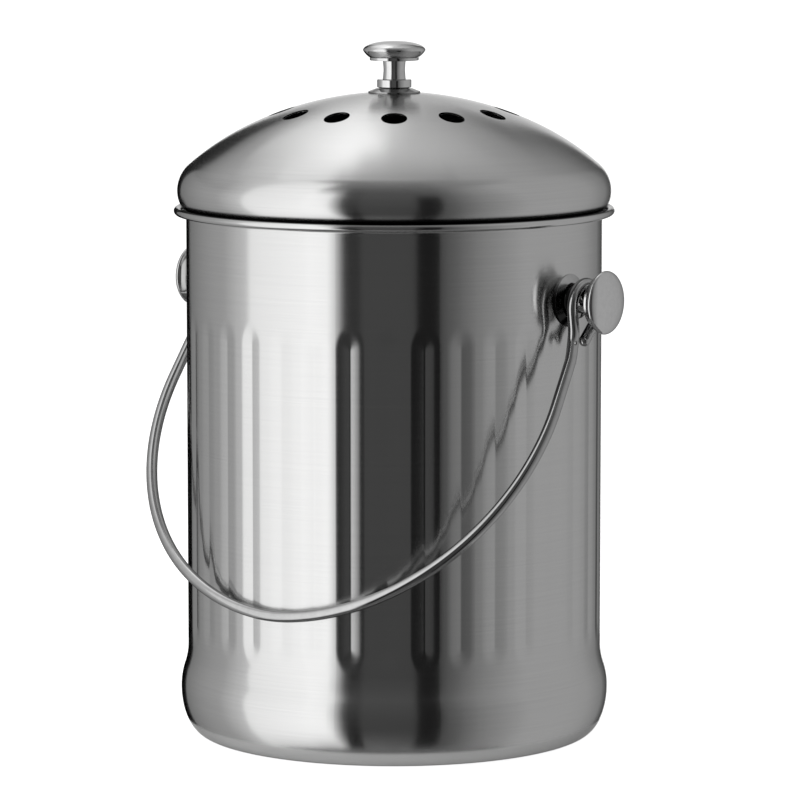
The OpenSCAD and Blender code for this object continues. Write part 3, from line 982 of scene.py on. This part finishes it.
# Studio cards round the object, as seen from it, in degrees. Each has its left and right edge,
# counted to the right from the camera, its lowest and highest elevation, and the brightness
# of its low left, low right, high left and high right corners.
CARDS = (
    ("softbox", -86, -48, -30, 64, 1.21, 1.42, 1.10, 1.30),
    ("softbox_low", -86, -48, -50, -30, 0.93, 0.95, 1.21, 1.42),
    ("softbox_edge", -48, -34, -30, 38, 1.42, 1.45, 1.45, 1.30),
    ("softbox_edge_low", -48, -34, -50, -30, 0.80, 0.70, 1.42, 1.45),
    ("softbox_fall", -34, -27, -50, 38, 1.35, 0.08, 1.00, 0.08),
    ("softbox_corner", -48, -27, 38, 56, 1.10, 0.08, 0.35, 0.11),
    ("camera_dark_left", -27, -18, -50, 54, 0.00, 0.00, 0.09, 0.11),
    ("camera_dark", -18, 12, -26, 54, 0.065, 0.065, 0.12, 0.12),
    ("camera_dark_low", -18, 12, -50, -26, 0.20, 0.14, 0.065, 0.065),
    ("camera_stand", 12, 25, -50, 30, 0.015, 0.015, 0.015, 0.015),
    ("above_stand", 12, 25, 30, 54, 0.08, 0.10, 0.15, 0.16),
    ("camera_dark_right", 25, 32, -50, 54, 0.08, 0.12, 0.15, 0.17),
    ("right_wall_near", 32, 48, -50, 54, 0.10, 0.26, 0.20, 0.34),
    ("right_wall_mid", 48, 75, -50, 54, 0.26, 0.44, 0.34, 0.50),
    ("right_wall", 75, 122, -50, 54, 0.47, 0.50, 0.46, 0.45),
    ("right_wall_far", 122, 149, -50, 40, 0.50, 0.50, 0.48, 0.36),
    ("right_flag", 149, 162, -50, 40, 0.42, 0.04, 0.33, 0.20),
    ("right_flag_edge", 162, 166, -50, 28, 0.00, 0.00, 0.14, 0.18),
    ("right_flag_top", 162, 172, 28, 40, 0.16, 0.46, 0.27, 0.53),
    ("behind_right", 149, 172, 40, 56, 0.34, 0.58, 0.50, 0.78),
    ("behind_right_far", 122, 149, 40, 56, 0.45, 0.36, 0.44, 0.50),
    ("top_behind", 122, 184, 56, 74, 0.44, 0.80, 0.62, 0.90),
    ("left_wall", -154, -106, -7, 18, 0.39, 0.48, 0.41, 0.51),
    ("left_wall_low", -150.5, -106, -50, -7, 0.37, 0.44, 0.40, 0.48),
    ("left_wall_near", -106, -86, -50, 18, 0.44, 0.74, 0.51, 0.84),
    ("left_wall_high", -154, -106, 18, 38, 0.34, 0.42, 0.56, 0.56),
    ("left_wall_near_high", -106, -86, 18, 38, 0.42, 0.76, 0.60, 0.84),
    ("left_wall_top", -128, -86, 38, 56, 0.50, 0.84, 0.80, 0.92),
    ("left_flag", -180, -154, -7, -2, 0.00, 0.00, 0.00, 0.00),
    ("left_flag_low", -180, -150.5, -50, -7, 0.00, 0.00, 0.00, 0.00),
    ("left_flag_high", -171, -154, -2, 24, 0.00, 0.00, 0.10, 0.02),
    ("left_flag_top", -171, -154, 24, 38, 0.40, 0.10, 1.60, 0.70),
    ("back_light_fall", 172, 187, 30, 68, 0.54, 1.45, 0.70, 1.45),
    ("back_light", -173, -146, 38, 70, 1.65, 0.72, 1.70, 1.75),
    ("back_light_wing", -146, -128, 38, 76, 0.54, 0.50, 1.75, 1.65),
    ("top_left", -128, -86, 56, 74, 1.00, 1.00, 1.35, 0.70),
    ("top_softbox", -86, -48, 64, 72, 0.75, 0.50, 0.45, 0.27),
    ("top_front", -48, 32, 54, 72, 0.20, 0.15, 0.19, 0.21),
    ("top_right", 32, 122, 54, 72, 0.20, 0.46, 0.28, 0.40),
    ("ceiling", -112, 122, 72, 90, 0.28, 0.28, 0.32, 0.32),
    ("ceiling_behind", 122, 248, 74, 90, 0.70, 0.95, 0.45, 0.45),
    ("below", -180, 180, -90, -50, 0.16, 0.16, 0.16, 0.16),
)

# Distance of the cards in metres and the height they are curved about, and the steps of a
# card's mesh, with more for a wide one
CARD_FAR = 1.9
CARD_CENTRE_Z = 0.2
CARD_STEPS = 8
WIDE_CARD = 90
WIDE_CARD_STEPS = 24


def card_material():
    """Light of a studio card, from the brightness stored on its mesh."""
    material = bpy.data.materials.new("card_light")
    material.use_nodes = True
    tree = material.node_tree
    tree.nodes.clear()
    level = put(tree, "Attribute", {}, attribute_name="level")["Fac"]
    glow = put(tree, "Emission", {"Strength": level})["Emission"]
    put(tree, "OutputMaterial", {"Surface": glow})
    return material


def build_card(name, material, start, end, low, high, levels):
    """One studio card, curved about the object and unseen by the camera."""
    steps = CARD_STEPS if end - start < WIDE_CARD else WIDE_CARD_STEPS
    across = np.linspace(0, 1, steps + 1)[None, :]
    up = np.linspace(0, 1, steps + 1)[:, None]
    turn = np.radians(start + (end - start) * across) + CAMERA_TURN - math.pi / 2
    rise = np.radians(low + (high - low) * up)
    x = CARD_FAR * np.cos(rise) * np.cos(turn)
    y = CARD_FAR * np.cos(rise) * np.sin(turn)
    z = CARD_CENTRE_Z + CARD_FAR * np.sin(rise) + 0 * turn
    low_left, low_right, high_left, high_right = levels
    low_level = low_left * (1 - across) + low_right * across
    high_level = high_left * (1 - across) + high_right * across
    level = low_level * (1 - up) + high_level * up
    at = np.arange(x.size).reshape(x.shape)
    faces = np.stack([at[:-1, :-1], at[:-1, 1:], at[1:, 1:], at[1:, :-1]], -1).reshape(-1, 4)
    mesh = bpy.data.meshes.new(name)
    mesh.from_pydata(np.stack([x, y, z], -1).reshape(-1, 3).tolist(), [], faces.tolist())
    mesh.attributes.new("level", "FLOAT", "POINT").data.foreach_set("value", level.ravel())
    card = bpy.data.objects.new(name, mesh)
    bpy.context.scene.collection.objects.link(card)
    set_material(card, material)
    card.visible_camera = False


def build_world():
    """White surroundings where they are seen or mirrored, and a dimmer fill for matt surfaces."""
    world = bpy.data.worlds.new("surroundings")
    bpy.context.scene.world = world
    world.use_nodes = True
    tree = world.node_tree
    path, mirrored = seen_in_mirrors(tree)
    seen = worked(tree, "ADD", mirrored, path["Is Camera Ray"], use_clamp=True)
    level = put(tree, "MapRange", {"Value": seen, "To Min": 0.5, "To Max": 1.15})["Result"]
    set_inputs(tree, tree.nodes["Background"], {"Color": (*grey(1), 1), "Strength": level})


def build_camera():
    """The photograph's camera."""
    data = bpy.data.cameras.new("camera")
    data.lens = LENS_MM
    data.sensor_width = SENSOR_MM
    data.clip_end = CAMERA_REACH
    camera = bpy.data.objects.new("camera", data)
    camera.location = CAMERA_AT
    camera.rotation_euler = (math.pi / 2 - CAMERA_DOWN, 0, CAMERA_TURN)
    bpy.context.scene.collection.objects.link(camera)
    bpy.context.scene.camera = camera


def build_studio():
    """Camera, floor, cards and world, shown without any grading."""
    build_camera()
    build_floor()
    light = card_material()
    for name, start, end, low, high, *levels in CARDS:
        build_card(name, light, start, end, low, high, levels)
    build_world()
    bpy.context.scene.view_settings.view_transform = "Standard"


# Painted shade darkens the colour over the pail's bead and at the lid's edge, in the seam between them.
PAIL_STEEL = brushed_steel("pail_brushed_steel", pail_lines, 9, 0.17, 0.85, painted_seam_shade_on_pail)
LID_STEEL = brushed_steel("lid_brushed_steel", lid_lines, 11, 0.20, 0.85, painted_seam_shade_on_lid)
RING_STEEL = brushed_steel("ring_brushed_steel", pail_lines, 11, 0.26, 0.8)
WIRE = polished_steel("bail_polished_wire", 300, 0.08, 0.46)
# Painted shade darkens the colour at the lid knob's seam, on the side posts' collars and on the side
# washers under the hooks.
LID_KNOB = polished_steel("lid_knob_polished_steel", 420, 0.07, shade=painted_seam_shade_under_knob)
SIDE_KNOB = polished_steel("side_knob_polished_steel", 420, 0.07, 0.68, painted_shade_at_wall)
LID_WASHER = polished_steel("lid_washer_steel", 420, 0.12, 0.4)
SIDE_WASHER = polished_steel("side_washer_steel", 420, 0.15, 0.5, painted_shade_under_hook)
FASTENER = polished_steel("fastener_steel", 900, 0.3)
RUBBER = plain_matt("seal_rubber", grey(0.02), grey(0.035), grain=1400, depth=0.00004, roughness=0.75)
PLASTIC = plain_matt(
    "tray_plastic", (0.035, 0.035, 0.038), (0.06, 0.06, 0.064), grain=2200, depth=0.00003, roughness=0.5,
)
FELT = plain_matt(
    "charcoal_felt", (0.015, 0.015, 0.016), (0.06, 0.06, 0.062), grain=900, depth=0.0005, roughness=0.92,
)

build_studio()

add_piece(build_pail(), "pail", PAIL_STEEL, "pail_shell")
add_piece(build_lid(), "lid", LID_STEEL, "lid_shell")
add_piece(build_plug_ring(), "lid", RING_STEEL, "lid_plug_ring")
add_piece(build_bail(), "bail", WIRE, "bail_handle")

for side, word in ((-1, "left"), (1, "right")):
    post = lathe(f"{word}_post", knob_outline(), place=on_side(side))
    add_piece(post, "pail", SIDE_KNOB, f"{word}_knob")
    washer = lathe(f"{word}_post_washer", cone_outline(), place=on_side(side), fit=fit_to_wall)
    add_piece(washer, "pail", SIDE_WASHER, f"{word}_cone_washer")

lid_knob = lathe("lid_knob_turned", knob_outline(), place=on_top())
add_piece(lid_knob, "lid", LID_KNOB, "lid_knob")
lid_washer = lathe("lid_knob_washer", cone_outline(), place=on_top(), fit=fit_to_lid)
add_piece(lid_washer, "lid", LID_WASHER, "lid_cone_washer")

felt = build_filter()
add_piece(felt, "filter", FELT, "charcoal_filter")

for word in ("left", "right", "lid"):
    set_material(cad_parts[f"{word}_flat_washer"], FASTENER)
    set_material(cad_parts[f"{word}_screw"], FASTENER)
for word in ("left", "right"):
    set_material(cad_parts[f"{word}_seal_washer"], RUBBER)
set_material(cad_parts["filter_tray"], PLASTIC)
